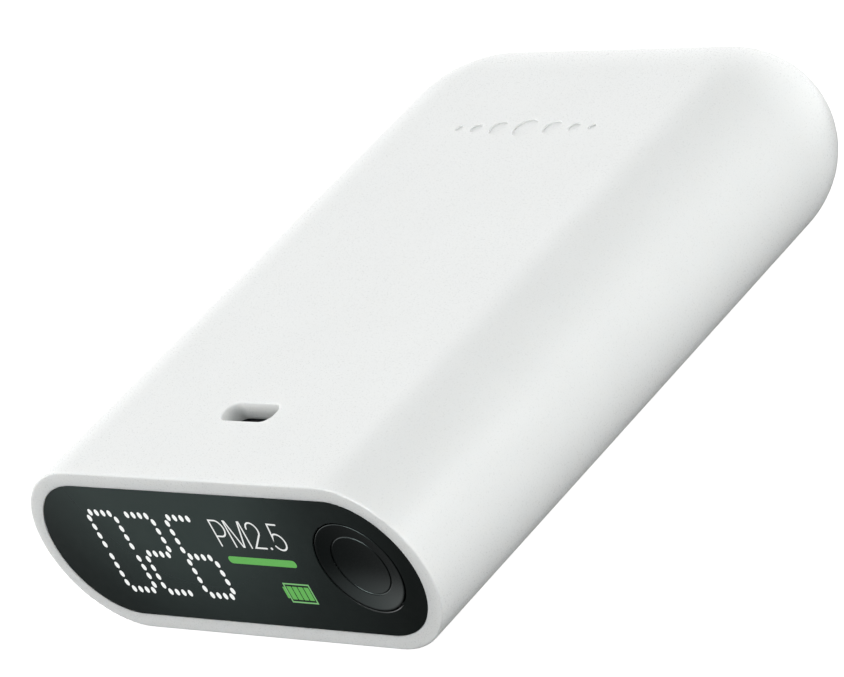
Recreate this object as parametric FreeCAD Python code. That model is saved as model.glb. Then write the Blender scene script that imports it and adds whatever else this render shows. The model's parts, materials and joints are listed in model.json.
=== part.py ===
"""Hand-held air quality monitor: a white pebble-ended sleeve with a dark display face and one round button.

Row frame: +X to the display's right, +Y from the display face to the rounded rear end, +Z up,
origin on the base plane under the middle of the sleeve.  All sizes are in millimetres.
"""
import FreeCAD, Part
import math
import os

V = FreeCAD.Vector
X_AXIS, Y_AXIS, Z_AXIS = V(1, 0, 0), V(0, 1, 0), V(0, 0, 1)

# ---- driving dimensions: sleeve ------------------------------------------------------------------
WIDTH, LENGTH, HEIGHT = 62.0, 87.0, 22.0
PLAN_CORNER = 14.0          # radius of the two rear corners seen from above
WALL = 1.85                 # sleeve wall, which is also the white rim round the display
FRONT_ROUND = 0.2           # rounding of the rim's outer edge
RUN = 0.15                  # running clearance between the sleeve and what slides into it

# ---- driving dimensions: openings of the sleeve --------------------------------------------------
INLET_FROM_FRONT = 11.8     # display face to the middle of the air inlet
INLET_HALF = (4.1, 1.55)    # half length along X and half width along Y
INLET_CORNER = 1.45
INLET_BOSS = 0.4            # pad that thickens the wall round the inlet
INLET_ROUND, VENT_ROUND, MARK_ROUND = 0.15, 0.2, 0.1    # rounded lips of the openings and dimples
VENT_FIRST, VENT_PITCH, VENT_COUNT = 8.0, 2.2, 4
VENT_HALF_WIDTH, VENT_HALF_HEIGHT = 0.55, 3.5
USB_OPENING = (8.34, 2.56)  # a USB-C socket's opening, width and height
USB_TONGUE = (6.69, 0.70)   # and its tongue's
USB_WALL, USB_GAP = 0.3, 0.15    # the socket's sheet metal, and its clearance in the sleeve
USB_Y = (36.6, 42.8)
MARK_FROM_FRONT = 64.2      # row of shallow round dimples on the top
MARK_RADII = (0.5, 0.8, 1.2, 1.6, 1.2, 0.8, 0.5)
MARK_GAP = 1.5
MARK_DEPTH = 0.2

# ---- driving dimensions: display face ------------------------------------------------------------
LENS_SET_BACK = 0.05
LENS_THICK = 1.5
LENS_GAP = 0.06
ADHESIVE = 0.15
CARRIER_THICK = 3.0
BOARD = 1.0                 # thickness of every circuit board
LED = 0.6
DIGIT_CENTRES = (-17.73, -11.61, -4.77)
DIGIT_HALF = (2.27, 5.43)   # from a digit's centre to its outer dots
DOT_PITCH_X, DOT_PITCH_Z, DOT_FIRST_Z = 1.07, 1.24, 0.86
DOT_RADIUS = 0.30
MASK_X = (-21.6, 12.4)
MASK_HALF_Z = 6.6
LEGEND = (0.1, 10.5, 1.8, 5.6)          # x0, x1, z0, z1 about the face's middle height
STATUS_BAR = (0.0, 10.5, -0.52, 0.52)
BATTERY_ICON = (6.2, 10.8, -5.6, -2.7)
BUTTON = (20.37, 0.15)      # centre of the button on the face
BUTTON_HOLE = 6.0
LENS_BEVEL = 0.08            # chamfer round the lens's button hole
BUTTON_RADIUS = 5.85
BUTTON_EDGE = 0.2            # rounding of the cap's outer edge
BUTTON_FLANGE = 6.6
BUTTON_DISH = 0.6           # depth of the finger dish at its middle
BUTTON_RING = 3.87          # radius of the fine groove inside the dish

# ---- driving dimensions: inner assembly ----------------------------------------------------------
CHASSIS_WALL = 1.0
CHASSIS_REAR = 28.0
CHASSIS_SCREWS = ((23.8, -31.0), (23.8, 24.0))
BOARD_SCREWS = ((18.0, 8.0), (18.0, 24.0))
BOARD_Z = 8.7
MAIN_BOARD = (20.4, 2.6, 38.6, 10.0)    # half width, front, rear, rear corner radius
BATTERY = (16.0, 2.3, 27.3, 3.5, 8.1)   # half width, front, rear, bottom, top
SENSOR_HALF_X, SENSOR_Y, SENSOR_Z = 19.0, (-35.6, -0.6), (5.0, 17.0)
SENSOR_WALL = 1.0
SENSOR_COVER = 1.2
SENSOR_POSTS = ((16.3, -3.3), (16.3, -25.0))
BEAM_Y, BEAM_Z = -31.6, 10.5
FAN = (4.0, -13.6)          # axis of the fan
FAN_HALF, FAN_BORE, FAN_FLOOR = 10.0, 9.2, 0.8
FAN_Z = (7.2, 14.2)
BLADES = 11

# ---- worked out from the driving dimensions ------------------------------------------------------
MID = HEIGHT / 2
ROUND = HEIGHT / 2          # the sides and the rear end are full rounds
FRONT, REAR = -LENGTH / 2, LENGTH / 2
CORNER_X, CORNER_Y = WIDTH / 2 - PLAN_CORNER, REAR - PLAN_CORNER
FLAT = PLAN_CORNER - ROUND
INSIDE = ROUND - WALL
CARRIER_ROUND = INSIDE - RUN
CHASSIS_INSIDE = CARRIER_ROUND - CHASSIS_WALL
LENS_Y = (FRONT + LENS_SET_BACK, FRONT + LENS_SET_BACK + LENS_THICK)
CARRIER_Y = (LENS_Y[1] + ADHESIVE, LENS_Y[1] + ADHESIVE + CARRIER_THICK)
DISPLAY_BOARD_Y = (CARRIER_Y[1] + 0.5, CARRIER_Y[1] + 0.5 + BOARD)
CHASSIS_FRONT = DISPLAY_BOARD_Y[1] + 0.05
INLET_Y = FRONT + INLET_FROM_FRONT
BUTTON_X, BUTTON_Z = BUTTON[0], MID + BUTTON[1]
BOARD_TOP = BOARD_Z + BOARD


# ---- helpers -------------------------------------------------------------------------------------
def box(x0, x1, y0, y1, z0, z1):
    """Upright block between two corners."""
    return Part.makeBox(x1 - x0, y1 - y0, z1 - z0, V(x0, y0, z0))


def rod(x, y, z, radius, length, axis=Z_AXIS):
    """Cylinder that starts at a point and runs along an axis."""
    return Part.makeCylinder(radius, length, V(x, y, z), axis)


def tube(x, y, z, outer, inner, length, axis=Z_AXIS):
    """Round sleeve with a through bore."""
    return rod(x, y, z, outer, length, axis).cut(rod(x, y, z, inner, length, axis))


def cut(shape, tools):
    """Shape with every tool taken away."""
    return shape.cut(tools)


def join(shape, others):
    """One clean solid from touching or overlapping solids."""
    return shape.multiFuse(others).removeSplitter()


def rounded_slab(half_a, half_b, corner, depth):
    """Rounded rectangle about the origin in XY, raised along +Z."""
    a, b, r, k = half_a, half_b, corner, corner * (1 - math.sqrt(0.5))
    lines = [(V(-a + r, -b), V(a - r, -b)), (V(a, -b + r), V(a, b - r)),
             (V(a - r, b), V(-a + r, b)), (V(-a, b - r), V(-a, -b + r))]
    mids = [V(a - k, -b + k), V(a - k, b - k), V(-a + k, b - k), V(-a + k, -b + k)]
    edges = []
    for i, (start, end) in enumerate(lines):
        edges.append(Part.LineSegment(start, end).toShape())
        edges.append(Part.Arc(end, mids[i], lines[(i + 1) % 4][0]).toShape())
    return Part.Face(Part.Wire(edges)).extrude(V(0, 0, depth))


def face_slab(x0, x1, z0, z1, y0, y1, corner):
    """Rounded rectangle on the display face, from depth y0 to y1; z is about the middle height."""
    slab = rounded_slab((x1 - x0) / 2, (z1 - z0) / 2, corner, y1 - y0)
    slab.rotate(V(), X_AXIS, -90)
    slab.translate(V((x0 + x1) / 2, y0, MID + (z0 + z1) / 2))
    return slab


def section(radius):
    """Half of the sleeve's section, from a corner axis out along +X: a flat and a full round."""
    low, high = V(CORNER_X, CORNER_Y, MID - radius), V(CORNER_X, CORNER_Y, MID + radius)
    flat = V(FLAT, 0, 0)
    nose = V(CORNER_X + FLAT + radius, CORNER_Y, MID)
    edges = [Part.LineSegment(low, low + flat).toShape(),
             Part.Arc(low + flat, nose, high + flat).toShape(),
             Part.LineSegment(high + flat, high).toShape(),
             Part.LineSegment(high, low).toShape()]
    return Part.Face(Part.Wire(edges))


def stadium(radius, y0, y1):
    """Flat-sided bar with full-round edges, running along Y."""
    half = section(radius)
    half.translate(V(0, y0 - CORNER_Y, 0))
    right = half.extrude(V(0, y1 - y0, 0))
    left = right.mirror(V(), X_AXIS)
    middle = box(-CORNER_X, CORNER_X, y0, y1, MID - radius, MID + radius)
    return join(middle, [right, left])


def pebble(radius, y0):
    """Stadium bar from y0 whose rear end is the same round swept about the two plan corners."""
    side = section(radius)
    corner = side.revolve(V(CORNER_X, CORNER_Y, MID), Z_AXIS, 90)
    turned = side.copy()
    turned.rotate(V(CORNER_X, CORNER_Y, MID), Z_AXIS, 90)
    rear = turned.extrude(V(-2 * CORNER_X, 0, 0))
    return join(stadium(radius, y0, CORNER_Y), [corner, rear, corner.mirror(V(), X_AXIS)])


def four(points):
    """Left and right copies of a list of (x, y) places."""
    return [(side * x, y) for side in (-1, 1) for x, y in points]


def screw(x, y, z, shank, length, head, head_height, axis):
    """Plain screw: the shank runs along the axis from (x, y, z) and the head sits behind it."""
    back = V(x, y, z) - axis * head_height
    body = rod(x, y, z, shank, length, axis).fuse(rod(back.x, back.y, back.z, head, head_height, axis))
    recess = rod(back.x, back.y, back.z, head * 0.45, head_height * 0.55, axis)
    return body.removeSplitter().cut(recess)


# ---- sleeve --------------------------------------------------------------------------------------
def inlet_cut():
    """Air inlet through the top wall."""
    slab = rounded_slab(INLET_HALF[0], INLET_HALF[1], INLET_CORNER, 5.0)
    slab.translate(V(0, INLET_Y, HEIGHT - 4.0))
    return slab


def usb_slab(margin, y0, y1):
    """Slab with full-round ends, larger all round than the charging socket's opening."""
    x, z = USB_OPENING[0] / 2 + margin, USB_OPENING[1] / 2 + margin
    return face_slab(-x, x, -z, z, y0, y1, z - 0.02)


def rear_cuts():
    """Outlet vents and the opening for the charging socket, through the rear end."""
    depth = (CORNER_Y + FLAT + 6.0, REAR + 1.0)
    cuts = [usb_slab(USB_WALL + USB_GAP, *depth)]
    for side in (-1, 1):
        for i in range(VENT_COUNT):
            x = side * (VENT_FIRST + i * VENT_PITCH)
            cuts.append(face_slab(x - VENT_HALF_WIDTH, x + VENT_HALF_WIDTH, -VENT_HALF_HEIGHT,
                                  VENT_HALF_HEIGHT, *depth, VENT_HALF_WIDTH - 0.02))
    return cuts


def mark_cuts():
    """Row of shallow dimples that grow towards the middle."""
    total = 2 * sum(MARK_RADII) + MARK_GAP * (len(MARK_RADII) - 1)
    cuts, x = [], -total / 2
    for radius in MARK_RADII:
        cuts.append(rod(x + radius, FRONT + MARK_FROM_FRONT, HEIGHT - MARK_DEPTH, radius, 1.0))
        x += 2 * radius + MARK_GAP
    return cuts


def snap_blocks(inner, outer):
    """Four small blocks on the flats, between two distances from the middle height."""
    y = (CARRIER_Y[0] + 1.0, CARRIER_Y[0] + 2.2)
    blocks = []
    for x in (-12.0, 12.0):
        blocks.append(box(x - 2, x + 2, *y, MID + inner, MID + outer))
        blocks.append(box(x - 2, x + 2, *y, MID - outer, MID - inner))
    return blocks


def inlet_lip(shell):
    return [e for e in shell.Edges if e.BoundBox.ZMin > HEIGHT - 0.01
            and abs(e.BoundBox.Center.y - INLET_Y) < 2 * INLET_HALF[1] and abs(e.BoundBox.Center.x) < 5]


def mark_lips(shell):
    return [e for e in shell.Edges if e.BoundBox.ZMin > HEIGHT - 0.01
            and abs(e.BoundBox.Center.y - FRONT - MARK_FROM_FRONT) < 0.1 and e.BoundBox.YLength > 0.5]


def rear_lips(shell):
    """Outer edges of the vents and of the socket's opening."""
    def outside(edge):
        places = [(p.y - CORNER_Y - FLAT, p.z - MID) for p in edge.discretize(3)]
        return all(abs(math.hypot(y, z) - ROUND) < 0.02 for y, z in places)

    near = [e for e in shell.Edges if e.BoundBox.YMin > REAR - 3 and e.Length < 10
            and abs(e.BoundBox.Center.x) < CORNER_X
            and abs(e.BoundBox.Center.z - MID) < VENT_HALF_HEIGHT + 0.5]
    return [e for e in near if outside(e)]


def make_outer_shell():
    outer = pebble(ROUND, FRONT)
    rim = [e for e in outer.Edges if e.BoundBox.YMax < FRONT + 0.01]
    shell = outer.makeFillet(FRONT_ROUND, rim).cut(pebble(INSIDE, FRONT - 1.0))
    boss = box(-6.6, 6.6, INLET_Y - 3.6, INLET_Y + 3.6, MID + INSIDE - INLET_BOSS, MID + INSIDE + 0.5)
    stops = [box(-6, 6, CHASSIS_REAR + 0.2, CHASSIS_REAR + 1.4, MID + INSIDE - 1.0, MID + INSIDE + 0.5),
             box(-6, 6, CHASSIS_REAR + 0.2, CHASSIS_REAR + 1.4, MID - INSIDE - 0.5, MID - INSIDE + 1.0)]
    shell = join(shell, [boss] + stops)
    pockets = snap_blocks(INSIDE - 0.2, INSIDE + 0.5)
    shell = cut(shell, [inlet_cut()] + rear_cuts() + mark_cuts() + pockets)
    shell = shell.makeFillet(INLET_ROUND, inlet_lip(shell))
    shell = shell.makeFillet(VENT_ROUND, rear_lips(shell))
    return shell.makeFillet(MARK_ROUND, mark_lips(shell))


# ---- display face --------------------------------------------------------------------------------
def digit_dots(centre):
    """Places of the 28 dots of one seven-segment digit."""
    half_x, half_z = DIGIT_HALF
    dots = [(centre + DOT_PITCH_X * (i - 1.5), z) for z in (-half_z, 0.0, half_z) for i in range(4)]
    for side in (-1, 1):
        for up in (-1, 1):
            dots += [(centre + side * half_x, up * (DOT_FIRST_Z + i * DOT_PITCH_Z)) for i in range(4)]
    return dots


def all_dots():
    return [dot for centre in DIGIT_CENTRES for dot in digit_dots(centre)]


def make_display_lens():
    lens = stadium(INSIDE - LENS_GAP, *LENS_Y)
    hole = rod(BUTTON_X, LENS_Y[0], BUTTON_Z, BUTTON_HOLE, LENS_THICK, Y_AXIS)
    bevel = Part.makeCone(BUTTON_HOLE + LENS_BEVEL, BUTTON_HOLE, LENS_BEVEL,
                          V(BUTTON_X, LENS_Y[0], BUTTON_Z), Y_AXIS)
    return cut(lens, [hole, bevel])


def mask_window(clearance, y0, y1):
    return box(MASK_X[0] - clearance, MASK_X[1] + clearance, y0, y1,
               MID - MASK_HALF_Z - clearance, MID + MASK_HALF_Z + clearance)


def make_lens_adhesive():
    sheet = stadium(CARRIER_ROUND, LENS_Y[1], CARRIER_Y[0])
    well = rod(BUTTON_X, LENS_Y[1], BUTTON_Z, BUTTON_FLANGE + 0.3, ADHESIVE, Y_AXIS)
    return cut(sheet, [mask_window(0.1, LENS_Y[1], CARRIER_Y[0]), well])


def display_screw_places():
    return [(-25.6, MID), (14.6, MID - 6.4), (14.6, MID + 6.4)]


def make_front_carrier():
    plate = stadium(CARRIER_ROUND, *CARRIER_Y)
    well = rod(BUTTON_X, CARRIER_Y[0], BUTTON_Z, BUTTON_FLANGE + 0.3, 1.7, Y_AXIS)
    switch_hole = box(BUTTON_X - 2.6, BUTTON_X + 2.6, *CARRIER_Y, BUTTON_Z - 2.6, BUTTON_Z + 2.6)
    pilots = [rod(x, CARRIER_Y[1] - 2.2, z, 0.62, 2.3, Y_AXIS) for x, z in display_screw_places()]
    plate = cut(plate, [mask_window(0.1, *CARRIER_Y), well, switch_hole] + pilots)
    return join(plate, snap_blocks(CARRIER_ROUND - 0.5, INSIDE + 0.3))


def make_light_mask():
    y0, y1 = CARRIER_Y[0], CARRIER_Y[1] - 0.15
    mask = mask_window(0.0, y0, y1)
    holes = [rod(x, y0, MID + z, DOT_RADIUS + 0.04, y1 - y0, Y_AXIS) for x, z in all_dots()]
    for x0, x1, z0, z1 in (LEGEND, STATUS_BAR, BATTERY_ICON):
        holes.append(face_slab(x0 - 0.05, x1 + 0.05, z0 - 0.05, z1 + 0.05, y0, y1, 0.45))
    return cut(mask, holes)


def make_digit_guides(centre):
    depth = CARRIER_THICK - 0.25
    return [rod(x, CARRIER_Y[0] + 0.05, MID + z, DOT_RADIUS, depth, Y_AXIS) for x, z in digit_dots(centre)]


def make_guide(window):
    x0, x1, z0, z1 = window
    return face_slab(x0, x1, z0, z1, CARRIER_Y[0] + 0.05, CARRIER_Y[1] - 0.2, 0.4)


def make_display_board():
    board = stadium(INSIDE - 0.55, *DISPLAY_BOARD_Y)
    return cut(board, [rod(x, DISPLAY_BOARD_Y[0], z, 0.75, BOARD, Y_AXIS) for x, z in display_screw_places()])


def make_display_leds():
    places = [(x, MID + z) for x, z in all_dots()]
    for x0, x1, z0, z1 in (LEGEND, STATUS_BAR, BATTERY_ICON):
        places += [(x0 + (x1 - x0) * part, MID + (z0 + z1) / 2) for part in (0.2, 0.5, 0.8)]
    y1 = DISPLAY_BOARD_Y[0]
    return [box(x - 0.3, x + 0.3, y1 - LED, y1, z - 0.3, z + 0.3) for x, z in places]


def make_display_screws():
    return [screw(x, DISPLAY_BOARD_Y[1], z, 0.6, 2.9, 1.2, 0.7, V(0, -1, 0))
            for x, z in display_screw_places()]


def make_display_socket():
    return box(18.8, 21.6, DISPLAY_BOARD_Y[1], DISPLAY_BOARD_Y[1] + 1.0, 9.4, 12.6)


# ---- button --------------------------------------------------------------------------------------
def make_button_cap():
    """Round cap with a dished face, a fine groove in the dish, a flange behind the lens and a stem."""
    rim_y, dish_y = LENS_Y[0] + 0.05, LENS_Y[0] + 0.05 + BUTTON_DISH
    edge = BUTTON_RADIUS - BUTTON_EDGE
    sphere = (edge ** 2 + BUTTON_DISH ** 2) / (2 * BUTTON_DISH)
    flange_y, flange_back, stem_y = LENS_Y[1] + 0.1, LENS_Y[1] + 0.8, CARRIER_Y[0] + 1.15
    mid_y = dish_y - (sphere - math.sqrt(sphere ** 2 - (edge / 2) ** 2))
    turn = BUTTON_EDGE * (1 - math.sqrt(0.5))
    edges = [Part.Arc(V(0, dish_y), V(edge / 2, mid_y), V(edge, rim_y)).toShape(),
             Part.Arc(V(edge, rim_y), V(BUTTON_RADIUS - turn, rim_y + turn),
                      V(BUTTON_RADIUS, rim_y + BUTTON_EDGE)).toShape()]
    corners = [V(BUTTON_RADIUS, rim_y + BUTTON_EDGE), V(BUTTON_RADIUS, flange_y), V(BUTTON_FLANGE, flange_y),
               V(BUTTON_FLANGE, flange_back), V(1.5, flange_back), V(1.5, stem_y), V(0, stem_y), V(0, dish_y)]
    edges += [Part.LineSegment(a, b).toShape() for a, b in zip(corners, corners[1:])]
    cap = Part.Face(Part.Wire(edges)).revolve(V(), Y_AXIS, 360)
    groove_y = dish_y - (sphere - math.sqrt(sphere ** 2 - BUTTON_RING ** 2))
    cap = cap.cut(Part.makeTorus(BUTTON_RING, 0.14, V(0, groove_y, 0), Y_AXIS))
    cap.translate(V(BUTTON_X, 0, BUTTON_Z))
    return cap


def make_switch_body():
    y1 = DISPLAY_BOARD_Y[0]
    body = box(BUTTON_X - 2.3, BUTTON_X + 2.3, y1 - 1.6, y1, BUTTON_Z - 2.3, BUTTON_Z + 2.3)
    return body.cut(rod(BUTTON_X, y1 - 1.6, BUTTON_Z, 1.16, 1.0, Y_AXIS))


def make_switch_plunger():
    return rod(BUTTON_X, CARRIER_Y[0] + 1.2, BUTTON_Z, 1.1, 1.25, Y_AXIS)


# ---- chassis -------------------------------------------------------------------------------------
def chassis_half(z0, z1, boss_z0, boss_z1):
    """Half of the tube that carries everything inside the sleeve, with its screw bosses."""
    outer = stadium(CARRIER_ROUND, CHASSIS_FRONT, CHASSIS_REAR)
    ring = outer.cut(stadium(CHASSIS_INSIDE, CHASSIS_FRONT - 1, CHASSIS_REAR + 1))
    half = ring.common(box(-WIDTH, WIDTH, FRONT, REAR, z0, z1))
    height = boss_z1 - boss_z0
    bosses = [rod(x, y, boss_z0, 2.2, height).common(outer) for x, y in four(CHASSIS_SCREWS)]
    return join(half, bosses)


def make_lower_chassis():
    half = chassis_half(MID - CARRIER_ROUND, MID, MID - CARRIER_ROUND, MID)
    floor = MID - CHASSIS_INSIDE
    rib = box(-18, 18, -0.4, 0.6, floor - 0.5, floor + 3.0)
    posts = [rod(x, y, floor - 0.5, 1.9, BOARD_Z - floor + 0.5) for x, y in four(BOARD_SCREWS)]
    half = join(half, [rib] + posts)
    pilots = [rod(x, y, BOARD_Z - 3.5, 0.62, 4.0) for x, y in four(BOARD_SCREWS)]
    through = [rod(x, y, 0, 1.1, MID + 1) for x, y in four(CHASSIS_SCREWS)]
    sinks = [rod(x, y, 0, 1.9, 5.0) for x, y in four(CHASSIS_SCREWS)]
    return cut(half, pilots + through + sinks)


def make_upper_chassis():
    half = chassis_half(MID, MID + CARRIER_ROUND, MID, MID + CARRIER_ROUND)
    pilots = [rod(x, y, MID - 1, 0.82, 6.0) for x, y in four(CHASSIS_SCREWS)]
    window = box(-6.7, 6.7, CHASSIS_FRONT - 1, INLET_Y + 3.8, MID + 6, HEIGHT)
    channel = box(-7.2, 7.2, CHASSIS_FRONT - 1, CHASSIS_REAR + 1, MID + CARRIER_ROUND - 0.35, HEIGHT)
    return cut(half, pilots + [window, channel])


def make_chassis_screws():
    return [screw(x, y, 5.0, 0.8, 10.0, 1.6, 1.1, Z_AXIS) for x, y in four(CHASSIS_SCREWS)]


# ---- particle sensor -----------------------------------------------------------------------------
def make_sensor_case():
    x, (y0, y1), (z0, z1), wall = SENSOR_HALF_X, SENSOR_Y, SENSOR_Z, SENSOR_WALL
    top = z1 - SENSOR_COVER
    case = box(-x, x, y0, y1, z0, top).cut(box(wall - x, x - wall, y0 + wall, y1 - wall, z0 + wall, top))
    partition = box(wall - x - 0.2, 8, -27.8, -27.0, 7.1, top)
    posts = [rod(px, py, z0 + wall - 0.2, 1.6, top - z0 - wall + 0.2) for px, py in four(SENSOR_POSTS)]
    case = join(case, [partition] + posts)
    outlet = box(-2, 11, y1 - wall - 0.1, y1 + 0.1, 8.6, 13.8)
    plug_gap = box(-14.2, -5.8, y1 - wall - 0.1, y1 + 0.1, 7.0, 9.6)
    pilots = [rod(px, py, top - 4, 0.52, 4.1) for px, py in four(SENSOR_POSTS)]
    return cut(case, [outlet, plug_gap] + pilots)


def make_sensor_cover():
    x, (y0, y1), z1 = SENSOR_HALF_X, SENSOR_Y, SENSOR_Z[1]
    half_x, half_y = INLET_HALF
    plate = box(-x, x, y0, y1, z1 - SENSOR_COVER, z1)
    inlet = box(-half_x, half_x, INLET_Y - half_y, INLET_Y + half_y, z1 - 2, z1 + 1)
    holes = [rod(px, py, z1 - 2, 0.62, 3) for px, py in four(SENSOR_POSTS)]
    sinks = [rod(px, py, z1 - 0.6, 1.2, 1) for px, py in four(SENSOR_POSTS)]
    return cut(plate, [inlet] + holes + sinks)


def make_sensor_screws():
    z = SENSOR_Z[1] - 0.6
    return [screw(x, y, z, 0.5, 3.6, 1.1, 0.55, V(0, 0, -1)) for x, y in four(SENSOR_POSTS)]


def make_sensor_board():
    x, (y0, y1), z = SENSOR_HALF_X - 1.1, SENSOR_Y, SENSOR_Z[0] + SENSOR_WALL
    board = box(-x, x, y0 + 1.1, y1 - 1.1, z, z + BOARD)
    notch = 1.75
    (inner_x, rear_y), (_, front_y) = SENSOR_POSTS
    notches = []
    for side in (-1, 1):
        across = sorted((side * (inner_x - notch), side * (x + 1)))
        notches.append(box(*across, rear_y - notch, y1, z - 1, z + 2))
        notches.append(box(*across, front_y - notch, front_y + notch, z - 1, z + 2))
    return cut(board, notches)


def make_laser_holder():
    block = box(9.5, 17.6, BEAM_Y - 2.6, BEAM_Y + 2.6, 7.1, 13.9)
    return cut(block, [rod(9, BEAM_Y, BEAM_Z, 1.7, 9, X_AXIS), rod(15.5, BEAM_Y, BEAM_Z, 2.4, 3, X_AXIS)])


def make_laser_diode():
    return join(rod(12.2, BEAM_Y, BEAM_Z, 1.65, 3.4, X_AXIS), [rod(15.55, BEAM_Y, BEAM_Z, 2.3, 1.2, X_AXIS)])


def make_laser_lens():
    disc = rod(9.9, BEAM_Y, BEAM_Z, 1.6, 1.3, X_AXIS)
    return disc.common(Part.makeSphere(3.0, V(12.7, BEAM_Y, BEAM_Z)))


def make_light_trap():
    block = box(-17.6, -13.6, BEAM_Y - 2.6, BEAM_Y + 2.6, 7.1, 13.9)
    return block.cut(Part.makeCone(0.4, 2.2, 3.4, V(-17.0, BEAM_Y, BEAM_Z), X_AXIS))


def make_photodiode():
    return box(-1.6, 1.6, BEAM_Y - 1.6, BEAM_Y + 1.6, 7.0, 8.0)


def make_sensor_chip():
    return box(-14, -9, -18, -13, 7.0, 7.9)


def make_sensor_plug():
    return box(-14, -6, -3.6, SENSOR_Y[1] + 0.2, 7.0, 9.4)


# ---- fan -----------------------------------------------------------------------------------------
def make_fan_frame():
    (x, y), (z0, z1), h = FAN, FAN_Z, FAN_HALF
    frame = box(x - h, x + h, y - h, y + h, z0, z1)
    bore = rod(x, y, z0 + FAN_FLOOR, FAN_BORE, z1)
    outlet = box(x - 6.0, x + 7.0, y, y + h + 1, z0 + FAN_FLOOR, z1 - 0.4)
    return cut(frame, [bore, outlet])


def make_fan_cover():
    (x, y), h = FAN, FAN_HALF
    return box(x - h, x + h, y - h, y + h, FAN_Z[1], FAN_Z[1] + 0.5).cut(rod(x, y, FAN_Z[1] - 1, 6.5, 3))


def make_fan_stator():
    x, y = FAN
    core = rod(x, y, FAN_Z[0] + FAN_FLOOR, 3.0, 3.5)
    slots = []
    for i in range(6):
        slot = box(x + 1.9, x + 3.5, y - 0.35, y + 0.35, 8.6, 13.0)
        slot.rotate(V(x, y, 0), Z_AXIS, 60 * i)
        slots.append(slot)
    return cut(core, slots + [rod(x, y, 7.5, 1.25, 6)])


def make_fan_bearing():
    return tube(*FAN, FAN_Z[0] + FAN_FLOOR, 1.2, 0.53, 3.5)


def make_fan_shaft():
    return rod(*FAN, FAN_Z[0] + FAN_FLOOR + 0.15, 0.5, 4.25)


def make_rotor_magnet():
    return tube(*FAN, 8.8, 4.05, 3.55, 3.2)


def make_fan_rotor():
    """Cup over the magnet ring with swept blades round it."""
    x, y = FAN
    cup = join(rod(x, y, 12.4, 4.6, 0.8), [tube(x, y, 8.6, 4.6, 4.1, 3.8)])
    blades = []
    for i in range(BLADES):
        blade = box(x + 4.2, x + 8.9, y - 0.25, y + 0.25, 8.6, 13.2)
        blade.rotate(V(x + 4.35, y, 0), Z_AXIS, 28)
        blade.rotate(V(x, y, 0), Z_AXIS, 360 * i / BLADES)
        blades.append(blade)
    swept = rod(x, y, 8.6, 8.5, 4.6)
    return join(cup, [blade.common(swept) for blade in blades])


# ---- air path seals ------------------------------------------------------------------------------
def make_inlet_gasket():
    outer = rounded_slab(6.1, 3.3, 1.0, 2.5)
    inner = rounded_slab(INLET_HALF[0] + 0.5, INLET_HALF[1] + 0.4, 0.8, 2.5)
    gasket = outer.cut(inner)
    gasket.translate(V(0, INLET_Y, SENSOR_Z[1]))
    return gasket


def make_dust_mesh():
    mesh = rounded_slab(6.0, 3.2, 1.0, 0.2)
    mesh.translate(V(0, INLET_Y, SENSOR_Z[1] + 2.5))
    return mesh


def make_outlet_mesh():
    skin = pebble(INSIDE - 0.03, CORNER_Y - 5).cut(pebble(INSIDE - 0.4, CORNER_Y - 6))
    return [skin.common(box(*sorted((side * 6.8, side * 15.9)), CORNER_Y + 2, REAR, MID - 4.4, MID + 4.4))
            for side in (-1, 1)]


def make_sensor_pads():
    floor, ceiling = MID - CHASSIS_INSIDE, MID + CHASSIS_INSIDE
    pads = []
    for side in (-1, 1):
        x = sorted((side * 9.0, side * 17.5))
        pads.append(box(*x, -20, -6, floor, SENSOR_Z[0]))
        pads.append(box(*x, -20, -6, SENSOR_Z[1], ceiling))
    return pads


# ---- electronics ---------------------------------------------------------------------------------
def make_main_board():
    half, y0, y1, corner = MAIN_BOARD
    slab = rounded_slab(half, (y1 - y0) / 2 + corner, corner, BOARD)
    slab.translate(V(0, (y0 + y1) / 2 - corner, BOARD_Z))
    slab = slab.common(box(-half, half, y0, y1, BOARD_Z, BOARD_TOP))
    half_notch = USB_OPENING[0] / 2 + USB_WALL + 0.1
    notch = box(-half_notch, half_notch, USB_Y[0] - 0.1, y1 + 1, BOARD_Z - 1, BOARD_TOP + 1)
    return cut(slab, [notch] + [rod(x, y, BOARD_Z - 1, 0.8, 3) for x, y in four(BOARD_SCREWS)])


def make_board_screws():
    return [screw(x, y, BOARD_TOP, 0.6, 4.0, 1.3, 0.8, V(0, 0, -1)) for x, y in four(BOARD_SCREWS)]


def make_processor():
    return box(-8, -1, 14, 21, BOARD_TOP, BOARD_TOP + 0.9)


def make_charge_controller():
    return box(4, 7, 26, 29, BOARD_TOP, BOARD_TOP + 0.8)


def make_power_inductor():
    return rod(11.5, 27.5, BOARD_TOP, 2.2, 2.0)


def make_usb_socket():
    """Sheet-metal shell sunk in the board's notch, with a tab each side that lies on the board."""
    y0, y1 = USB_Y
    tab = USB_OPENING[0] / 2 + 1.6
    tabs = box(-tab, tab, y0 + 0.3, y0 + 1.8, BOARD_TOP, BOARD_TOP + USB_WALL)
    return join(usb_slab(USB_WALL, y0, y1), [tabs]).cut(usb_slab(0.0, y0 + 0.6, y1 + 1.0))


def make_usb_tongue():
    y0, y1 = USB_Y
    half_x, half_z = USB_TONGUE[0] / 2, USB_TONGUE[1] / 2
    base = box(-3.5, 3.5, y0 + 0.6, y0 + 1.6, MID - 1.0, MID + 1.0)
    return join(box(-half_x, half_x, y0 + 1.4, y1 - 0.6, MID - half_z, MID + half_z), [base])


def make_ribbon_sockets():
    return [box(14.5, 17.0, 3.4, 5.4, BOARD_TOP, BOARD_TOP + 2.5),
            box(-13.4, -6.6, 3.4, 5.2, BOARD_TOP, BOARD_TOP + 2.1)]


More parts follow.
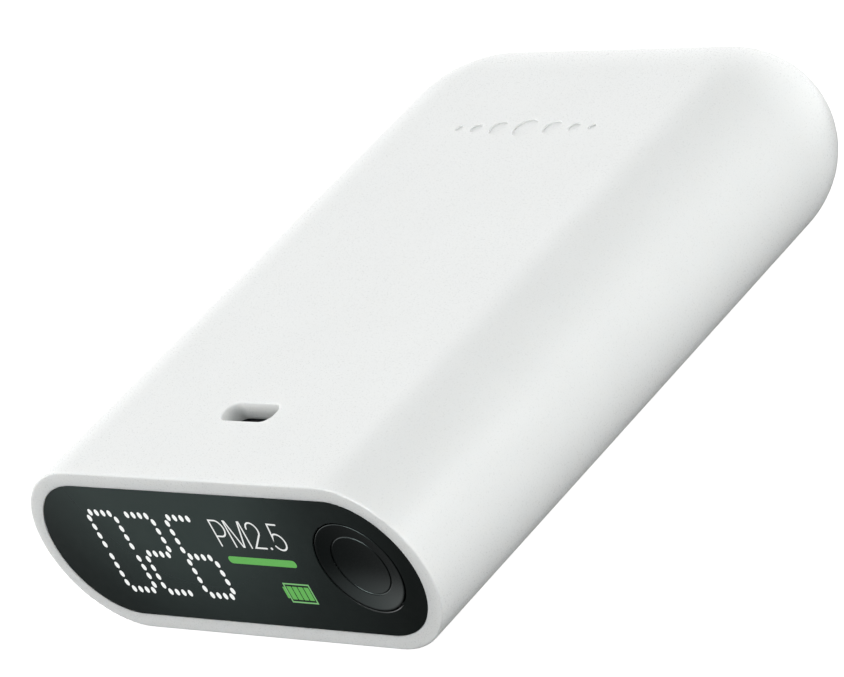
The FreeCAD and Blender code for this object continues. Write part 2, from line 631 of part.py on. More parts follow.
def strip(points, thickness, lift):
    """Flat ribbon: a folded centre line with a thickness, raised along lift."""
    half = thickness / 2
    normals = []
    for a, b in zip(points, points[1:]):
        along = (b - a).normalize()
        normals.append(lift.cross(along).normalize())
    left, right = [], []
    for i, point in enumerate(points):
        near = normals[max(i - 1, 0)]
        far = normals[min(i, len(normals) - 1)]
        side = (near + far) * (half / (1 + near.dot(far)))
        left.append(point + side)
        right.append(point - side)
    outline = left + right[::-1]
    return Part.Face(Part.makePolygon(outline + [outline[0]])).extrude(lift)


def make_display_ribbon():
    z = BOARD_TOP + 0.2
    path = [V(20.3, DISPLAY_BOARD_Y[1] + 1.0, z), V(20.3, 2.0, z), V(18.6, 4.4, z), V(17.0, 4.4, z)]
    return strip(path, 0.25, V(0, 0, 2.2))


def make_sensor_ribbon():
    path = [V(-13.0, SENSOR_Y[1] + 0.2, 8.2), V(-13.0, 0.8, 8.2), V(-13.0, 2.0, 10.9), V(-13.0, 3.4, 10.9)]
    return strip(path, 0.25, V(6.0, 0, 0))


def make_battery_cell():
    half, y0, y1, z0, z1 = BATTERY
    cell = rounded_slab(half, (y1 - y0) / 2, 1.5, z1 - z0)
    cell.translate(V(0, (y0 + y1) / 2, z0))
    return cell


def make_battery_foam():
    half, y0, y1, z0, _ = BATTERY
    return box(1 - half, half - 1, y0 + 1, y1 - 1, MID - CHASSIS_INSIDE, z0)


def make_battery_socket():
    return box(2.0, 6.4, 3.4, 5.8, BOARD_TOP, BOARD_TOP + 2.2)


def make_battery_leads():
    """Two insulated wires that turn round the board's front edge from the cell to its socket."""
    low, high = 6.5, 10.9
    turn, y = (high - low) / 2, BATTERY[1]
    leads = []
    for x in (3.2, 5.2):
        bend = Part.Arc(V(x, y, low), V(x, y - turn, low + turn), V(x, y, high)).toShape()
        run = Part.LineSegment(V(x, y, high), V(x, 3.4, high)).toShape()
        ring = Part.Wire(Part.makeCircle(0.4, V(x, y, low), Y_AXIS))
        leads.append(Part.Wire([bend, run]).makePipeShell([ring], True, False))
    return leads


# ---- export --------------------------------------------------------------------------------------
NODES = {
    "outer_shell": make_outer_shell,
    "display_lens": make_display_lens,
    "lens_adhesive": make_lens_adhesive,
    "front_carrier": make_front_carrier,
    "light_mask": make_light_mask,
    "left_digit_guides": lambda: make_digit_guides(DIGIT_CENTRES[0]),
    "middle_digit_guides": lambda: make_digit_guides(DIGIT_CENTRES[1]),
    "right_digit_guides": lambda: make_digit_guides(DIGIT_CENTRES[2]),
    "legend_guide": lambda: make_guide(LEGEND),
    "status_bar_guide": lambda: make_guide(STATUS_BAR),
    "battery_icon_guide": lambda: make_guide(BATTERY_ICON),
    "display_board": make_display_board,
    "display_leds": make_display_leds,
    "display_screws": make_display_screws,
    "display_socket": make_display_socket,
    "display_ribbon": make_display_ribbon,
    "button_cap": make_button_cap,
    "switch_body": make_switch_body,
    "switch_plunger": make_switch_plunger,
    "lower_chassis": make_lower_chassis,
    "upper_chassis": make_upper_chassis,
    "chassis_screws": make_chassis_screws,
    "sensor_case": make_sensor_case,
    "sensor_cover": make_sensor_cover,
    "sensor_screws": make_sensor_screws,
    "sensor_board": make_sensor_board,
    "sensor_chip": make_sensor_chip,
    "sensor_plug": make_sensor_plug,
    "sensor_ribbon": make_sensor_ribbon,
    "sensor_pads": make_sensor_pads,
    "laser_holder": make_laser_holder,
    "laser_diode": make_laser_diode,
    "laser_lens": make_laser_lens,
    "light_trap": make_light_trap,
    "photodiode": make_photodiode,
    "fan_frame": make_fan_frame,
    "fan_cover": make_fan_cover,
    "fan_stator": make_fan_stator,
    "fan_bearing": make_fan_bearing,
    "fan_shaft": make_fan_shaft,
    "fan_rotor": make_fan_rotor,
    "rotor_magnet": make_rotor_magnet,
    "inlet_gasket": make_inlet_gasket,
    "dust_mesh": make_dust_mesh,
    "outlet_mesh": make_outlet_mesh,
    "main_board": make_main_board,
    "board_screws": make_board_screws,
    "processor": make_processor,
    "charge_controller": make_charge_controller,
    "power_inductor": make_power_inductor,
    "ribbon_sockets": make_ribbon_sockets,
    "usb_socket": make_usb_socket,
    "usb_tongue": make_usb_tongue,
    "battery_cell": make_battery_cell,
    "battery_foam": make_battery_foam,
    "battery_socket": make_battery_socket,
    "battery_leads": make_battery_leads,
}


def export(name, made):
    """Write one node: a single solid, or a group of separate solids."""
    shape = Part.makeCompound(made) if isinstance(made, list) else made
    size = shape.optimalBoundingBox()
    print(f"{name:22s} solids {len(shape.Solids):3d} valid {shape.isValid()} volume {shape.Volume:9.2f}"
          f"  {size.XLength:6.2f} x {size.YLength:6.2f} x {size.ZLength:6.2f}")
    shape.exportStep(f"parts/{name}.step")


os.makedirs("parts", exist_ok=True)
for node, make in NODES.items():
    export(node, make())
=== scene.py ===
"""Looks of a hand-held air quality monitor: white sleeve, dark lit display face, dished button."""
import json
import math

import bmesh
import bpy
from mathutils import Matrix, Vector


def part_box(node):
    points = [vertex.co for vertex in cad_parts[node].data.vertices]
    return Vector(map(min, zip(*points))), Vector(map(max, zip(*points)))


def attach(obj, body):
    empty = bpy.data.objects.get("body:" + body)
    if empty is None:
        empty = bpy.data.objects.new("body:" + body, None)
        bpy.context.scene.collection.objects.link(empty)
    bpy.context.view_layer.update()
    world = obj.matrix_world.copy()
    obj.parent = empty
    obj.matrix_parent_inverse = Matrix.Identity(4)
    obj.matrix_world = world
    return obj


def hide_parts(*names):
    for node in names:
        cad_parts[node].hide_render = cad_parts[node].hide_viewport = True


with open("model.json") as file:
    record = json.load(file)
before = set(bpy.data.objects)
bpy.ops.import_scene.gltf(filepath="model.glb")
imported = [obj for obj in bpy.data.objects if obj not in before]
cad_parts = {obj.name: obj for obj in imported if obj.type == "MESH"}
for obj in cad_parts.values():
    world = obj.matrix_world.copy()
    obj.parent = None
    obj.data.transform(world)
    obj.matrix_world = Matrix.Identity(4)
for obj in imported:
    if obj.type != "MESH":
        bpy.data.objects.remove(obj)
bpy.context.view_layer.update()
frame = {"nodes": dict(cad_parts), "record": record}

MM = 0.001
NODES = frame["nodes"]
SLOT_OF = {part["node"]: part["material_slot"] for part in frame["record"]["subparts"]}

# ---- places read from the frame ------------------------------------------------------------------
LENS_LOW, LENS_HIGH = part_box("display_lens")
FACE_Y = LENS_LOW.y                      # front surface of the lens
MID_Z = (LENS_LOW.z + LENS_HIGH.z) / 2   # middle height of the face
BUTTON_LOW, BUTTON_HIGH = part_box("button_cap")
BUTTON_X, BUTTON_Z = (BUTTON_LOW.x + BUTTON_HIGH.x) / 2, (BUTTON_LOW.z + BUTTON_HIGH.z) / 2
DIGITS = ("left", "middle", "right")

# ---- sizes of the lit display, in metres ---------------------------------------------------------
DIGIT_HALF_X, DIGIT_HALF_Z = 2.27 * MM, 5.43 * MM
DOT_PITCH_X, DOT_PITCH_Z, DOT_FIRST_Z = 1.07 * MM, 1.24 * MM, 0.86 * MM
DOT_HALF_X, DOT_HALF_Z = 0.33 * MM, 0.46 * MM
LIT_PROUD, LIT_DEPTH = 0.012 * MM, 0.05 * MM
LETTER_STROKE = 0.21 * MM
LETTER_HEIGHT = 3.54                     # letters are drawn in millimetres


# ---- node helpers --------------------------------------------------------------------------------
def new_material(name):
    """Material with an empty node tree, its Principled shader and its object coordinates."""
    mat = bpy.data.materials.new(name)
    mat.use_nodes = True
    tree = mat.node_tree
    tree.nodes.clear()
    out = tree.nodes.new("ShaderNodeOutputMaterial")
    shader = tree.nodes.new("ShaderNodeBsdfPrincipled")
    coords = tree.nodes.new("ShaderNodeTexCoord")
    tree.links.new(shader.outputs["BSDF"], out.inputs["Surface"])
    return mat, tree, shader, coords.outputs["Object"]


def noise(tree, coords, feature, detail=2.0, rough=0.5):
    """Noise whose features are about that size, in metres."""
    node = tree.nodes.new("ShaderNodeTexNoise")
    node.inputs["Scale"].default_value = 1.0 / feature
    node.inputs["Detail"].default_value = detail
    node.inputs["Roughness"].default_value = rough
    tree.links.new(coords, node.inputs["Vector"])
    return node.outputs["Fac"]


def cells(tree, coords, size):
    """Distance pattern of irregular cells of about that size, in metres."""
    node = tree.nodes.new("ShaderNodeTexVoronoi")
    node.inputs["Scale"].default_value = 1.0 / size
    tree.links.new(coords, node.inputs["Vector"])
    return node.outputs["Distance"]


def stretched(tree, coords, scale):
    """Coordinates scaled axis by axis."""
    node = tree.nodes.new("ShaderNodeMapping")
    node.inputs["Scale"].default_value = scale
    tree.links.new(coords, node.inputs["Vector"])
    return node.outputs["Vector"]


def bands(tree, coords, pitch, direction):
    """Straight bands across a direction, one to each pitch."""
    node = tree.nodes.new("ShaderNodeTexWave")
    node.bands_direction = direction
    node.inputs["Scale"].default_value = math.pi / 10 / pitch
    tree.links.new(coords, node.inputs["Vector"])
    return node.outputs["Fac"]


def ramp(tree, factor, stops):
    """Colour ramp through (position, colour) stops."""
    node = tree.nodes.new("ShaderNodeValToRGB")
    while len(node.color_ramp.elements) < len(stops):
        node.color_ramp.elements.new(0.5)
    for element, (position, colour) in zip(node.color_ramp.elements, stops):
        element.position = position
        element.color = (*colour, 1.0)
    tree.links.new(factor, node.inputs["Fac"])
    return node.outputs["Color"]


def spread(tree, factor, low, high):
    """Factor mapped from the noise's usual range to low..high."""
    node = tree.nodes.new("ShaderNodeMapRange")
    node.inputs["From Min"].default_value = 0.3
    node.inputs["From Max"].default_value = 0.7
    node.inputs["To Min"].default_value = low
    node.inputs["To Max"].default_value = high
    tree.links.new(factor, node.inputs["Value"])
    return node.outputs["Result"]


def bump(tree, shader, height, depth):
    """Bump of that depth, in metres, on the shader's normal."""
    node = tree.nodes.new("ShaderNodeBump")
    node.inputs["Distance"].default_value = depth
    tree.links.new(height, node.inputs["Height"])
    tree.links.new(node.outputs["Normal"], shader.inputs["Normal"])


def shade(colour, factor):
    """Colour made lighter or darker."""
    return tuple(min(1.0, c * factor) for c in colour)


# ---- materials -----------------------------------------------------------------------------------
def moulded(name, colour, rough, grain=0.25 * MM, depth=0.004 * MM, tint=0.06):
    """Moulded plastic: fine spark-eroded grain, slow tint drift and a roughness that varies a little."""
    mat, tree, shader, coords = new_material(name)
    drift = noise(tree, coords, 9 * MM, 3.0)
    tinted = ramp(tree, drift, [(0.3, shade(colour, 1 - tint)), (0.7, shade(colour, 1 + tint))])
    tree.links.new(tinted, shader.inputs["Base Color"])
    fine = noise(tree, coords, grain)
    tree.links.new(spread(tree, fine, rough - 0.04, rough + 0.04), shader.inputs["Roughness"])
    bump(tree, shader, fine, depth)
    return mat


def white_shell():
    """Satin white moulding that lets a little light through its thin edges."""
    mat = moulded("white_shell", SHELL_WHITE, 0.30, grain=0.18 * MM, depth=0.0025 * MM, tint=0.008)
    shader = mat.node_tree.nodes["Principled BSDF"]
    shader.inputs["Subsurface Weight"].default_value = 0.6
    shader.inputs["Subsurface Radius"].default_value = (1.0, 0.95, 0.9)
    shader.inputs["Subsurface Scale"].default_value = 1.6 * MM
    return mat


def gloss_button():
    """Polished black cap with a slightly green sheen, like the lens beside it."""
    mat = moulded("button_gloss", (0.004, 0.005, 0.005), 0.20, 0.2 * MM, 0.001 * MM, 0.1)
    mat.node_tree.nodes["Principled BSDF"].inputs["Specular Tint"].default_value = (0.80, 1.0, 0.97, 1.0)
    return mat


def smoked_lens():
    """Dark acrylic whose base colour is painted lighter near the middle of its upper edge, fading away from
    it: a painted reflection.
    """
    mat, tree, shader, coords = new_material("smoked_lens")
    away = tree.nodes.new("ShaderNodeVectorMath")
    away.operation = "DISTANCE"
    away.inputs[1].default_value = (-6 * MM, FACE_Y, MID_Z + 12 * MM)
    tree.links.new(coords, away.inputs[0])
    reach = tree.nodes.new("ShaderNodeMapRange")
    reach.inputs["From Min"].default_value = 12 * MM
    reach.inputs["From Max"].default_value = 36 * MM
    tree.links.new(away.outputs["Value"], reach.inputs["Value"])
    # painted reflection: base colour lightest near the middle of the upper edge, darker with distance from it
    painted_reflection = ramp(tree, reach.outputs["Result"], [
        (0.0, (0.036, 0.050, 0.047)), (0.5, (0.013, 0.018, 0.017)), (1.0, (0.004, 0.006, 0.0055))])
    tree.links.new(painted_reflection, shader.inputs["Base Color"])
    film = noise(tree, coords, 1.2 * MM, 3.0)
    tree.links.new(spread(tree, film, 0.10, 0.16), shader.inputs["Roughness"])
    bump(tree, shader, noise(tree, coords, 6 * MM), 0.002 * MM)
    return mat


def metal(name, colour, rough, streak=0.4 * MM):
    """Plated or turned metal with fine streaks in its colour and roughness."""
    mat, tree, shader, coords = new_material(name)
    lines = noise(tree, stretched(tree, coords, (1.0, 8.0, 1.0)), streak, 3.0)
    plating = ramp(tree, lines, [(0.3, shade(colour, 0.82)), (0.7, colour)])
    tree.links.new(plating, shader.inputs["Base Color"])
    tree.links.new(spread(tree, lines, rough, rough + 0.15), shader.inputs["Roughness"])
    shader.inputs["Metallic"].default_value = 1.0
    bump(tree, shader, lines, 0.002 * MM)
    return mat


def crinkled_foil(name, colour):
    """Satin aluminium pouch with soft crinkles, painted a little darker in their dents as painted shade."""
    mat, tree, shader, coords = new_material(name)
    creases = cells(tree, coords, 4 * MM)
    # painted shade: colour darker in the dents of the crinkles
    crinkle_painted_shade = ramp(tree, creases, [(0.1, shade(colour, 0.85)), (0.8, colour)])
    tree.links.new(crinkle_painted_shade, shader.inputs["Base Color"])
    tree.links.new(spread(tree, noise(tree, coords, 1 * MM), 0.32, 0.45), shader.inputs["Roughness"])
    shader.inputs["Metallic"].default_value = 1.0
    bump(tree, shader, creases, 0.06 * MM)
    return mat


def foam(name, colour, pore=0.35 * MM):
    """Open-cell foam with a rough dry surface; its pores are painted dark, as painted shade in the pits."""
    mat, tree, shader, coords = new_material(name)
    pores = cells(tree, coords, pore)
    # painted shade: colour darkened to a third in the pits of the pores
    pore_painted_shade = ramp(tree, pores, [(0.1, shade(colour, 0.35)), (0.6, colour)])
    tree.links.new(pore_painted_shade, shader.inputs["Base Color"])
    shader.inputs["Roughness"].default_value = 0.95
    shader.inputs["Specular IOR Level"].default_value = 0.2
    bump(tree, shader, pores, 0.05 * MM)
    return mat


def solder_mask(name, colour):
    """Circuit board: copper traces showing as lighter bands through the mask."""
    mat, tree, shader, coords = new_material(name)
    traces = tree.nodes.new("ShaderNodeMath")
    traces.operation = "MULTIPLY"
    wavy = noise(tree, coords, 5 * MM, 1.0)
    tree.links.new(bands(tree, coords, 0.9 * MM, "X"), traces.inputs[0])
    tree.links.new(spread(tree, wavy, 0.0, 1.0), traces.inputs[1])
    mask = ramp(tree, traces.outputs["Value"],
                [(0.0, shade(colour, 0.75)), (0.42, colour), (0.5, shade(colour, 1.6))])
    tree.links.new(mask, shader.inputs["Base Color"])
    shader.inputs["Roughness"].default_value = 0.28
    bump(tree, shader, traces.outputs["Value"], 0.02 * MM)
    return mat


def film_cable(name, colour):
    """Amber film with its copper conductors running side by side."""
    mat, tree, shader, coords = new_material(name)
    lines = bands(tree, coords, 0.5 * MM, "Z")
    copper = ramp(tree, lines, [(0.35, colour), (0.6, shade(colour, 1.7))])
    tree.links.new(copper, shader.inputs["Base Color"])
    tree.links.new(spread(tree, noise(tree, coords, 1 * MM), 0.2, 0.3), shader.inputs["Roughness"])
    bump(tree, shader, lines, 0.01 * MM)
    return mat


def speckled(name, colour, rough):
    """Resin or ferrite with a fine mineral speckle."""
    mat, tree, shader, coords = new_material(name)
    specks = noise(tree, coords, 0.12 * MM, 4.0, 0.7)
    mineral = ramp(tree, specks, [(0.35, shade(colour, 0.7)), (0.68, shade(colour, 1.5))])
    tree.links.new(mineral, shader.inputs["Base Color"])
    tree.links.new(spread(tree, specks, rough, rough + 0.12), shader.inputs["Roughness"])
    bump(tree, shader, specks, 0.006 * MM)
    return mat


def clear_glass(name, colour):
    """Polished glass with faint smears."""
    mat, tree, shader, coords = new_material(name)
    smears = noise(tree, coords, 0.8 * MM)
    tinted = ramp(tree, smears, [(0.3, shade(colour, 0.96)), (0.7, colour)])
    tree.links.new(tinted, shader.inputs["Base Color"])
    tree.links.new(spread(tree, smears, 0.02, 0.06), shader.inputs["Roughness"])
    shader.inputs["Transmission Weight"].default_value = 0.9
    return mat


def glowing(name, colour):
    """Lit diffuser: emission that is a little uneven, as light through moulded resin is."""
    mat, tree, shader, coords = new_material(name)
    mottle = 0.15 * MM
    glow = ramp(tree, noise(tree, coords, mottle), [(0.3, shade(colour, 0.94)), (0.7, colour)])
    tree.links.new(glow, shader.inputs["Emission Color"])
    resin = ramp(tree, noise(tree, coords, mottle), [(0.3, (0.02,) * 3), (0.7, (0.03,) * 3)])
    tree.links.new(resin, shader.inputs["Base Color"])
    shader.inputs["Emission Strength"].default_value = 1.0
    shader.inputs["Roughness"].default_value = 0.4
    return mat


SHELL_WHITE = (0.685, 0.700, 0.693)
MATERIALS = {
    "white_shell": white_shell(),
    "smoked_lens": smoked_lens(),
    "button_gloss": gloss_button(),
    "black_plastic": moulded("black_plastic", (0.012, 0.012, 0.013), 0.5),
    "adhesive": foam("adhesive", (0.015, 0.015, 0.015), 0.1 * MM),
    "clear_guide": moulded("clear_guide", (0.74, 0.77, 0.77), 0.15),
    "green_guide": moulded("green_guide", (0.02, 0.17, 0.014), 0.15),
    "grey_plastic": moulded("grey_plastic", (0.085, 0.09, 0.095), 0.45),
    "sensor_plastic": moulded("sensor_plastic", (0.006, 0.006, 0.007), 0.4),
    "circuit_board": solder_mask("circuit_board", (0.004, 0.06, 0.02)),
    "led_chip": moulded("led_chip", (0.69, 0.65, 0.39), 0.2),
    "socket_plastic": moulded("socket_plastic", (0.60, 0.55, 0.42), 0.45),
    "ribbon": film_cable("ribbon", (0.17, 0.033, 0.004)),
    "chip_resin": speckled("chip_resin", (0.01, 0.01, 0.01), 0.45),
    "steel": metal("steel", (0.62, 0.62, 0.63), 0.22),
    "mesh_steel": metal("mesh_steel", (0.055, 0.06, 0.065), 0.35, 0.1 * MM),
    "brass": metal("brass", (0.80, 0.60, 0.30), 0.2),
    "copper_winding": metal("copper_winding", (0.60, 0.24, 0.10), 0.3, 0.15 * MM),
    "ferrite": speckled("ferrite", (0.014, 0.014, 0.016), 0.55),
    "laser_glass": clear_glass("laser_glass", (0.85, 0.90, 0.92)),
    "foam": foam("foam", (0.045, 0.045, 0.048)),
    "cell_foil": crinkled_foil("cell_foil", (0.55, 0.56, 0.58)),
    "switch_plastic": moulded("switch_plastic", (0.26, 0.010, 0.005), 0.4),
    "lead_insulation": moulded("lead_insulation", (0.22, 0.002, 0.001), 0.35),
}
WHITE_GLOW = glowing("white_glow", (0.90, 0.92, 0.91))
LEGEND_GLOW = glowing("legend_glow", (0.78, 0.80, 0.79))
GREEN_GLOW = glowing("green_glow", (0.095, 0.40, 0.065))
PALE_GREEN_GLOW = glowing("pale_green_glow", (0.17, 0.45, 0.15))

for cad_name, node in NODES.items():
    node.data.materials.clear()
    node.data.materials.append(MATERIALS[SLOT_OF[cad_name]])


# ---- mesh helpers --------------------------------------------------------------------------------
SHARP_EDGE = math.radians(40)
CORNER_STEPS = 6                         # flats round a quarter turn of a rounded corner
CAP_STEPS = 8                            # flats round the half turn at a stroke's end


def add_piece(name, bm, material, body="housing"):
    """Finished mesh as a piece of the model, smooth except across its sharp edges."""
    bmesh.ops.recalc_face_normals(bm, faces=bm.faces)
    mesh = bpy.data.meshes.new(name)
    bm.to_mesh(mesh)
    bm.free()
    mesh.shade_smooth()
    mesh.set_sharp_from_angle(angle=SHARP_EDGE)
    obj = bpy.data.objects.new(name, mesh)
    bpy.context.scene.collection.objects.link(obj)
    mesh.materials.append(material)
    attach(obj, body)
    return obj


def lathe(bm, profile, centre, steps, tall=1.0):
    """Solid of revolution about the Y axis through a centre, from (radius, y) points axis to axis."""
    rings = []
    for radius, y in profile:
        if radius < 1e-9:
            rings.append([bm.verts.new((centre[0], y, centre[1]))])
            continue
        turns = [2 * math.pi * i / steps for i in range(steps)]
        circle = [(centre[0] + radius * math.cos(t), centre[1] + tall * radius * math.sin(t)) for t in turns]
        rings.append([bm.verts.new((x, y, z)) for x, z in circle])
    for near, far in zip(rings, rings[1:]):
        for i in range(steps):
            j = (i + 1) % steps
            corners = [near[i % len(near)], near[j % len(near)], far[j % len(far)], far[i % len(far)]]
            bm.faces.new(list(dict.fromkeys(corners)))


def spin(bm, profile, steps):
    """Sheet swept round the Z axis from (radius, z) points."""
    rings = []
    for radius, z in profile:
        turns = [2 * math.pi * i / steps for i in range(steps if radius > 0 else 1)]
        rings.append([bm.verts.new((radius * math.cos(t), radius * math.sin(t), z)) for t in turns])
    for near, far in zip(rings, rings[1:]):
        for i in range(steps):
            j = (i + 1) % steps
            corners = [near[i % len(near)], far[i], far[j], near[j % len(near)]]
            bm.faces.new(list(dict.fromkeys(corners)))


def arc(centre, radius, start, end, steps):
    """Points of an arc, in degrees, in a plane."""
    turns = [math.radians(start + (end - start) * i / steps) for i in range(steps + 1)]
    return [(centre[0] + radius * math.cos(t), centre[1] + radius * math.sin(t)) for t in turns]


def plate(bm, outline, y0, y1):
    """Flat plate on the face with that outline of (x, z) points, from depth y0 to y1."""
    loops = [[bm.verts.new((x, y, z)) for x, z in outline] for y in (y0, y1)]
    bm.faces.new(loops[0])
    bm.faces.new(loops[1][::-1])
    for i in range(len(outline)):
        j = (i + 1) % len(outline)
        bm.faces.new((loops[0][i], loops[1][i], loops[1][j], loops[0][j]))


def rounded_box(x0, x1, z0, z1, radius):
    """Outline of a rounded rectangle."""
    outline = []
    for x, z, turn in ((x1, z1, 0), (x0, z1, 90), (x0, z0, 180), (x1, z0, 270)):
        centre = (x - math.copysign(radius, x - (x0 + x1) / 2), z - math.copysign(radius, z - (z0 + z1) / 2))
        outline += arc(centre, radius, turn, turn + 90, CORNER_STEPS)
    return outline


def stroke(bm, points, width, y0, y1):
    """Line of even width with round ends and mitred corners, through (x, z) points."""
    flat = [Vector(p) for p in points]
    ways = [(b - a).normalized() for a, b in zip(flat, flat[1:])]
    left, right = [], []
    for i, point in enumerate(flat):
        before, after = ways[max(i - 1, 0)], ways[min(i, len(ways) - 1)]
        across = Vector((-before.y - after.y, before.x + after.x))
        offset = across * (width / (across.length_squared))
        left.append(point + offset)
        right.append(point - offset)
    head = math.degrees(math.atan2(ways[-1].y, ways[-1].x))
    tail = math.degrees(math.atan2(ways[0].y, ways[0].x))
    cap_end = [Vector(p) for p in arc(flat[-1], width / 2, head - 90, head + 90, CAP_STEPS)[1:-1]]
    cap_start = [Vector(p) for p in arc(flat[0], width / 2, tail + 90, tail + 270, CAP_STEPS)[1:-1]]
    front, back = [], []
    for y, rows in ((y0, front), (y1, back)):
        rows.append([bm.verts.new((p.x, y, p.y)) for p in left])
        rows.append([bm.verts.new((p.x, y, p.y)) for p in right])
        rows.append([bm.verts.new((p.x, y, p.y)) for p in cap_end])
        rows.append([bm.verts.new((p.x, y, p.y)) for p in cap_start])
    for lefts, rights, ends, starts in (front, back):
        for i in range(len(lefts) - 1):
            bm.faces.new((lefts[i], rights[i], rights[i + 1], lefts[i + 1]))
        bm.faces.new([rights[-1]] + ends + [lefts[-1]])
        bm.faces.new([lefts[0]] + starts + [rights[0]])
    border = [rows[1] + rows[2] + rows[0][::-1] + rows[3] for rows in (front, back)]
    for i in range(len(border[0])):
        j = (i + 1) % len(border[0])
        bm.faces.new((border[0][i], border[1][i], border[1][j], border[0][j]))


# ---- button --------------------------------------------------------------------------------------
def button_cap():
    """Smooth dished cap with a fine groove in the dish, its flange and its stem."""
    rim, stem_end = BUTTON_LOW.y, BUTTON_HIGH.y
    outer, flange = 5.85 * MM, (BUTTON_HIGH.x - BUTTON_LOW.x) / 2
    turn = 0.09 * MM
    edge, depth = outer - turn, 0.6 * MM
    ring, groove = 3.87 * MM, 0.14 * MM
    sphere = (edge ** 2 + depth ** 2) / (2 * depth)

    def dish(radius):
        return rim + depth - (sphere - math.sqrt(sphere ** 2 - radius ** 2))

    span = edge - ring - groove
    profile = [(radius, dish(radius)) for radius in ((ring - groove) * i / 20 for i in range(21))]
    profile += [(ring - groove * math.cos(t), dish(ring) + groove * 0.8 * math.sin(t))
                for t in (math.pi * i / 12 for i in range(1, 12))]
    profile += [(radius, dish(radius)) for radius in (ring + groove + span * i / 8 for i in range(9))]
    profile += arc((edge, rim + turn), turn, -90, 0, 8)[1:]
    flange_front, flange_back, stem = LENS_HIGH.y + 0.1 * MM, LENS_HIGH.y + 0.8 * MM, 1.5 * MM
    profile += [(outer, flange_front), (flange, flange_front), (flange, flange_back),
                (stem, flange_back), (stem, stem_end), (0.0, stem_end)]
    bm = bmesh.new()
    lathe(bm, profile, (BUTTON_X, BUTTON_Z), 128)
    cap = add_piece("dished_button", bm, MATERIALS["button_gloss"], "power_button")
    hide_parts("button_cap")


# ---- lit display ---------------------------------------------------------------------------------
LIT_Y = (FACE_Y - LIT_PROUD, FACE_Y + LIT_DEPTH)
SEGMENTS = {"0": "top bottom upper_left lower_left upper_right lower_right",
            "2": "top middle bottom upper_right lower_left",
            "6": "top middle bottom upper_left lower_left lower_right"}


def segment_dots(name):
    """Places of one segment's four dots, from the digit's centre."""
    rows = {"top": DIGIT_HALF_Z, "middle": 0.0, "bottom": -DIGIT_HALF_Z}
    if name in rows:
        return [(DOT_PITCH_X * (i - 1.5), rows[name]) for i in range(4)]
    up = 1 if name.startswith("upper") else -1
    side = 1 if name.endswith("right") else -1
    return [(side * DIGIT_HALF_X, up * (DOT_FIRST_Z + i * DOT_PITCH_Z)) for i in range(4)]


def digit(name, figure):
    """Seven-segment figure of crowned oval dots."""
    low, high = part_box(name + "_digit_guides")
    centre = (low.x + high.x) / 2
    crown = [(0.0, LIT_Y[0]), (DOT_HALF_X * 0.8, LIT_Y[0] + 0.002 * MM), (DOT_HALF_X, LIT_Y[0] + 0.008 * MM),
             (DOT_HALF_X, LIT_Y[1]), (0.0, LIT_Y[1])]
    bm = bmesh.new()
    for segment in SEGMENTS[figure].split():
        for x, z in segment_dots(segment):
            lathe(bm, crown, (centre + x, MID_Z + z), 24, DOT_HALF_Z / DOT_HALF_X)
    add_piece(name + "_digit_dots", bm, WHITE_GLOW)


def bowl(centre, half, start, end):
    """Round part of a letter: an elliptic arc between two angles, in degrees."""
    turns = [math.radians(start + (end - start) * i / 16) for i in range(17)]
    return [(centre[0] + half[0] * math.cos(t), centre[1] + half[1] * math.sin(t)) for t in turns]


def letter_strokes():
    """Strokes of the particle-size legend, in millimetres from the foot of its first letter."""
    top = LETTER_HEIGHT
    p = [(0.0, 0.0), (0.0, top), (0.9, top)]
    p += bowl((0.9, top - 1.1), (0.92, 1.1), 80, -80)
    p += [(0.9, top - 2.2), (0.0, top - 2.2)]
    m = [(2.33, 0.0), (2.33, top), (2.52, top), (3.48, 0.06)]
    m += [(3.65, 0.06), (4.61, top), (4.8, top), (4.8, 0.0)]
    two = bowl((6.42, top - 1.0), (0.88, 1.0), 172, -35) + [(5.48, 0.06), (7.2, 0.06)]
    five = [(10.58, top - 0.05), (9.28, top - 0.02), (9.1, 1.72)] + bowl((9.72, 1.08), (1.0, 1.1), 118, -148)
    return p, m, two, five


def legend():
    """Legend drawn as strokes, with the round stop before its last figure."""
    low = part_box("legend_guide")[0]
    left, base = low.x, low.z + 0.11 * MM
    bm = bmesh.new()
    for points in letter_strokes():
        stroke(bm, [(left + x * MM, base + z * MM) for x, z in points], LETTER_STROKE, *LIT_Y)
    stop, stop_x, stop_z = 0.17 * MM, left + 7.97 * MM, base + 0.1 * MM
    lathe(bm, [(0.0, LIT_Y[0]), (stop, LIT_Y[0]), (stop, LIT_Y[1]), (0.0, LIT_Y[1])], (stop_x, stop_z), 20)
    add_piece("legend_strokes", bm, LEGEND_GLOW)


def status_bar():
    """Lit bar with round ends under the legend."""
    low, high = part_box("status_bar_guide")
    bm = bmesh.new()
    spill = 0.1 * MM
    half = 0.49 * MM
    plate(bm, rounded_box(low.x - spill, high.x + spill, MID_Z - half, MID_Z + half, 0.48 * MM), *LIT_Y)
    add_piece("status_bar_light", bm, GREEN_GLOW)


